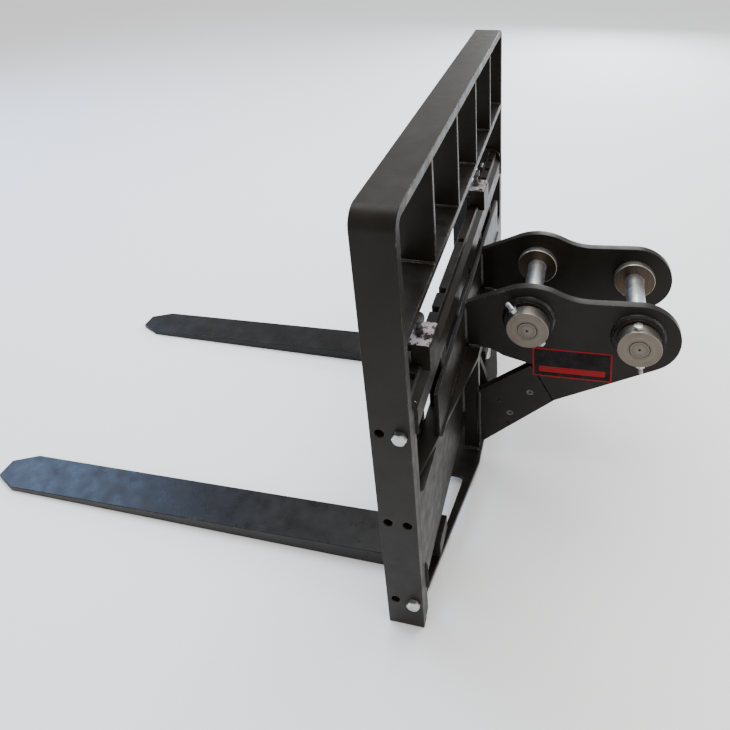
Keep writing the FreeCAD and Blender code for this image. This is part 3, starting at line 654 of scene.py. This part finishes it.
# leg lengths of the beads, and where they start, stop and crease
FRAME_LEG = 5 * MM
RING_LEG = 5.5 * MM
GUARD_LEG = 4 * MM
GUARD_INSET = 1 * MM
FORK_LEG = 6 * MM
BEAD_INSET = 2 * MM
BEAD_SHARP = 60
BOSS_RING_R = 56 * MM
STRUT_SEAM_TALL = 172 * MM
WING_SETBACK = 13 * MM
UP = (0, 0, 1)
DOWN = (0, 0, -1)
REAR = (0, 1, 0)
FRONT = (0, -1, 0)


def add_bead(mesh, points, first, second, leg, turn=90, closed=False):
    """A rippled weld bead along a path. First and second give, at each point, the ways of its two legs.

    A turn of 90 degrees fills an inside corner, and one of 180 lays a low crown over a butt seam.
    """
    fillet = turn == 90
    crown = 1.0 if fillet else 0.42
    rows = []
    count = len(points)
    travelled = 0.0
    for index, point in enumerate(points):
        if index:
            travelled += (point - points[index - 1]).length
        # the leg wanders a little in two slow waves, and an open bead starts and stops thin
        wander = 1 + 0.06 * math.sin(travelled * 61.0 + leg * 5000) + 0.04 * math.sin(travelled * 173.0)
        taper = 1.0 if closed else min(1.0, 0.45 + 0.3 * min(index, count - 1 - index))
        row = []
        for step in range(ARC):
            share = step / (ARC - 1)
            angle = math.radians(turn * share)
            swell = math.sin(math.pi * share)
            # each ripple is a crescent that steps down behind its crest
            phase = (travelled - 0.55 * leg * swell) / RIPPLE
            crest = 1 + 0.10 * swell * (1 - (phase % 1.0))
            flat = 1 - 0.22 * swell if fillet else 1.0
            reach = leg * wander * taper * crest * flat
            along_first = first[index] * (reach * math.cos(angle))
            along_second = second[index] * (reach * crown * math.sin(angle))
            row.append(mesh.verts.new(point + along_first + along_second))
        root = point - second[index] * BURIED
        if fillet:
            root -= first[index] * BURIED
        row.append(mesh.verts.new(root))
        rows.append(row)
    wide = ARC + 1
    pairs = list(zip(rows, rows[1:]))
    if closed:
        pairs.append((rows[-1], rows[0]))
    for here, there in pairs:
        for index in range(wide):
            following = (index + 1) % wide
            mesh.faces.new((here[index], here[following], there[following], there[index]))
    if not closed:
        mesh.faces.new(rows[0])
        mesh.faces.new(list(reversed(rows[-1])))


def straight_bead(mesh, start, end, first, second, leg, turn=90):
    """A bead along a straight corner."""
    start = Vector(start)
    end = Vector(end)
    count = max(4, int((end - start).length / STEP))
    points = [start.lerp(end, index / count) for index in range(count + 1)]
    first = [Vector(first)] * len(points)
    second = [Vector(second)] * len(points)
    add_bead(mesh, points, first, second, leg, turn)


def ring_bead(mesh, centre, radius, outward, leg):
    """A bead round a ring that stands on a face whose outward way is along X."""
    count = int(2 * math.pi * radius / STEP)
    spokes = [Vector((0, math.cos(2 * math.pi * index / count), math.sin(2 * math.pi * index / count)))
              for index in range(count)]
    points = [Vector(centre) + spoke * radius for spoke in spokes]
    add_bead(mesh, points, spokes, [Vector(outward)] * count, leg, closed=True)


def foot_welds(mesh, face, out):
    """Beads that join the column to the carriage and to the strut, on one of its faces."""
    skirt_low, skirt_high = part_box("carriage_lower_web")
    floor_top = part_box("wing_floor")[1].z
    bar_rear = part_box("carriage_bottom_bar")[1].y
    column_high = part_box("hitch_column")[1]
    rear = column_high.y
    corners = (((skirt_high.y, skirt_low.z), (skirt_high.y, skirt_high.z), REAR),
               ((skirt_high.y + FRAME_LEG, column_high.z), (rear, column_high.z), DOWN),
               ((bar_rear, floor_top), (rear, floor_top), UP))
    for start, end, away in corners:
        straight_bead(mesh, (face, *start), (face, *end), out, away, FRAME_LEG)
    seam_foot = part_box("hitch_strut")[0].z + BEAD_INSET
    straight_bead(mesh, (face, rear, seam_foot), (face, rear, seam_foot + STRUT_SEAM_TALL), FRONT, out,
                  FRAME_LEG, turn=180)


def ear_welds(mesh, side, sign):
    """Beads round an ear's foot, on both its faces, and round the boss rings outside it."""
    web_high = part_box("carriage_upper_web")[1]
    shelf_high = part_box("wing_shelf")[1]
    ear_low, ear_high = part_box("hitch_ear_" + side)
    for face, way in ((ear_low.x, -1), (ear_high.x, 1)):
        out = (way, 0, 0)
        straight_bead(mesh, (face, web_high.y, shelf_high.z + FRAME_LEG), (face, web_high.y, web_high.z),
                      out, REAR, FRAME_LEG)
        straight_bead(mesh, (face, web_high.y + FRAME_LEG, shelf_high.z),
                      (face, shelf_high.y - BEAD_INSET, shelf_high.z), out, UP, FRAME_LEG)
        if side == "left":
            foot_welds(mesh, face, out)
    outer = ear_high.x if sign > 0 else ear_low.x
    for pin in PINS:
        centre = middle("hitch_pin_" + pin)
        ring_bead(mesh, (outer, centre.y, centre.z), BOSS_RING_R, (sign, 0, 0), RING_LEG)


def end_plate_welds(mesh, side, sign):
    """Beads that join an end plate's inner face to the two bars and to the shelf and floor plates."""
    shelf_low, shelf_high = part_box("wing_shelf")
    floor_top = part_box("wing_floor")[1].z
    wing_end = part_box("carriage_top_bar")[1].y - WING_SETBACK
    end_low, end_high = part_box("end_plate_" + side)
    inner = end_low.x if sign > 0 else end_high.x
    into = (-sign, 0, 0)
    for bar in ("carriage_top_bar", "carriage_bottom_bar"):
        low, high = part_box(bar)
        for across, away in ((high.y, REAR), (low.y, FRONT)):
            straight_bead(mesh, (inner, across, low.z), (inner, across, high.z), into, away, FRAME_LEG)
    for height, away in ((shelf_high.z, UP), (shelf_low.z, DOWN), (floor_top, UP)):
        straight_bead(mesh, (inner, shelf_low.y, height), (inner, wing_end, height), into, away, FRAME_LEG)


def web_welds(mesh):
    """Beads along the upper and lower webs, interrupted at the ears."""
    web_low, web_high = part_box("carriage_upper_web")
    skirt_low, skirt_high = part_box("carriage_lower_web")
    ear_low, ear_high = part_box("hitch_ear_left")
    inside = ear_low.x - FRAME_LEG
    outside = ear_high.x + FRAME_LEG

    def beads(reach, across, height, away, up):
        for start, end in ((-reach, -outside), (-inside, inside), (outside, reach)):
            straight_bead(mesh, (start, across, height), (end, across, height), away, up, FRAME_LEG)

    beads(web_high.x, web_high.y, web_low.z, REAR, UP)
    beads(skirt_high.x - FRAME_LEG, skirt_high.y, skirt_high.z, REAR, DOWN)
    beads(skirt_high.x - FRAME_LEG, skirt_low.y, skirt_low.z, FRONT, UP)


def frame_welds():
    """Beads that join the carriage's plates, the end plates and the hitch."""
    mesh = bmesh.new()
    for side, sign in SIDES:
        ear_welds(mesh, side, sign)
        end_plate_welds(mesh, side, sign)
    web_welds(mesh)
    new_piece("frame_welds", mesh, "frame", [WELD_PAINT], sharp=BEAD_SHARP)


def guard_welds():
    """Beads at the ends of the guard's uprights and lower rail."""
    mesh = bmesh.new()
    corners = []
    for number in range(1, 5):
        low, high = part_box("guard_upright_%d" % number)
        for height, up in ((low.z, UP), (high.z, DOWN)):
            for face, way in ((low.x, -1), (high.x, 1)):
                corners.append((face, height, way, up, low.y, high.y))
    low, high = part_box("guard_lower_rail")
    for face, way in ((low.x, 1), (high.x, -1)):
        for height, up in ((low.z, DOWN), (high.z, UP)):
            corners.append((face, height, way, up, low.y, high.y))
    for face, height, way, up, front, rear in corners:
        start = (face, front + GUARD_INSET, height)
        end = (face, rear - GUARD_INSET, height)
        straight_bead(mesh, start, end, (way, 0, 0), up, GUARD_LEG)
    new_piece("guard_welds", mesh, "frame", [WELD_PAINT], sharp=BEAD_SHARP)


def fork_welds():
    """Beads that join each fork's hooks to its shank."""
    for side, _ in SIDES:
        mesh = bmesh.new()
        shank_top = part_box("fork_" + side)[1].z
        for hook in ("top", "bottom"):
            low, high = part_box("fork_%s_hook_%s" % (hook, side))
            foot = low.z + FORK_LEG
            reach = min(high.z, shank_top)
            for face, way in ((low.x, -1), (high.x, 1)):
                straight_bead(mesh, (face, low.y, foot), (face, low.y, reach), (way, 0, 0), REAR, FORK_LEG)
        low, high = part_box("fork_top_hook_" + side)
        straight_bead(mesh, (low.x, low.y, shank_top), (high.x, low.y, shank_top), FRONT, UP, FORK_LEG)
        new_piece("fork_welds_" + side, mesh, "fork_" + side, [WELD_PAINT], sharp=BEAD_SHARP)


# ---------------------------------------------------------------------------------------------------
# Floor, light and camera
# ---------------------------------------------------------------------------------------------------
def make_floor():
    """A plain pale floor with the faintest mottling."""
    graph = Graph("pale_floor")
    tone = graph.blend(graph.noise(1.2, 3.0), (0.92, 0.92, 0.92), (0.94, 0.94, 0.94))
    graph.finish(Base_Color=tone, Roughness=0.8, Specular_IOR_Level=0.15)
    half_width = 40.0
    mesh = bmesh.new()
    bmesh.ops.create_grid(mesh, x_segments=1, y_segments=1, size=half_width)
    data = bpy.data.meshes.new("floor")
    mesh.to_mesh(data)
    mesh.free()
    floor = bpy.data.objects.new("floor", data)
    bpy.context.scene.collection.objects.link(floor)
    data.materials.append(graph.material)
    floor.location.z = CAD_BOX[0].z - 0.2 * MM


HITCH = (0.0, 0.5, 0.5)
# name, place, target, width, height, power in watts, colour
SOFTBOXES = (
    ("overhead", (-0.6, 0.2, 3.6), (-0.2, -0.1, 0.0), 3.0, 3.0, 150.0, (1.0, 0.99, 0.97)),
    ("front_window", (-1.2, -3.6, 2.7), (0.25, -0.8, 0.0), 2.0, 1.8, 125.0, (0.40, 0.60, 1.0)),
    ("far_window", (-4.2, 0.8, 1.8), HITCH, 1.2, 2.0, 120.0, (0.92, 0.96, 1.0)),
    ("side_strip", (1.2, 3.8, 1.5), HITCH, 0.5, 2.0, 25.0, (1.0, 0.96, 0.90)),
)


def softbox(name, place, target, wide, tall, power, colour):
    """An area light aimed at a point."""
    light = bpy.data.lights.new(name, "AREA")
    light.shape = "RECTANGLE"
    light.size = wide
    light.size_y = tall
    light.energy = power
    light.color = colour
    lamp = bpy.data.objects.new(name, light)
    bpy.context.scene.collection.objects.link(lamp)
    lamp.location = place
    lamp.rotation_euler = (Vector(target) - Vector(place)).to_track_quat("-Z", "Y").to_euler()


def make_light():
    """A bright even room with an overhead softbox, a cool front window, a far window and a side strip."""
    world = bpy.data.worlds.new("room")
    bpy.context.scene.world = world
    world.use_nodes = True
    background = world.node_tree.nodes["Background"]
    background.inputs["Color"].default_value = (1.0, 1.0, 1.0, 1.0)
    background.inputs["Strength"].default_value = 1.0
    for box in SOFTBOXES:
        softbox(*box)


# metres, degrees, and a lens and sensor in millimetres
CAMERA_PLACE = Vector((1.3660, 0.6057, 1.4369))
CAMERA_AZIMUTH = 103.79
CAMERA_ELEVATION = 24.97
CAMERA_ROLL = -2.32
CAMERA_LENS = 32.495
CAMERA_SENSOR = 36.0
CAMERA_SHIFT = (-0.0992, -0.2728)


def make_camera():
    """A camera behind the hitch's left, looking down along the carriage."""
    azimuth = math.radians(CAMERA_AZIMUTH)
    elevation = math.radians(CAMERA_ELEVATION)
    roll = math.radians(CAMERA_ROLL)
    back = Vector((math.sin(azimuth) * math.cos(elevation), -math.cos(azimuth) * math.cos(elevation),
                   math.sin(elevation)))
    level = Vector((0, 0, 1)).cross(back).normalized()
    up = back.cross(level)
    across = level * math.cos(roll) + up * math.sin(roll)
    upright = up * math.cos(roll) - level * math.sin(roll)
    data = bpy.data.cameras.new("camera")
    data.sensor_width = CAMERA_SENSOR
    data.lens = CAMERA_LENS
    data.shift_x, data.shift_y = CAMERA_SHIFT
    data.clip_start = 0.05
    data.clip_end = 100.0
    camera = bpy.data.objects.new("camera", data)
    bpy.context.scene.collection.objects.link(camera)
    turn = Matrix((across, upright, back)).transposed().to_4x4()
    camera.matrix_world = Matrix.Translation(CAMERA_PLACE) @ turn
    bpy.context.scene.camera = camera


finish_nodes()
guard_fasteners()
cross_fasteners()
strut_screws()
lock_knobs()
blank_label()
frame_welds()
guard_welds()
fork_welds()
make_floor()
make_light()
make_camera()
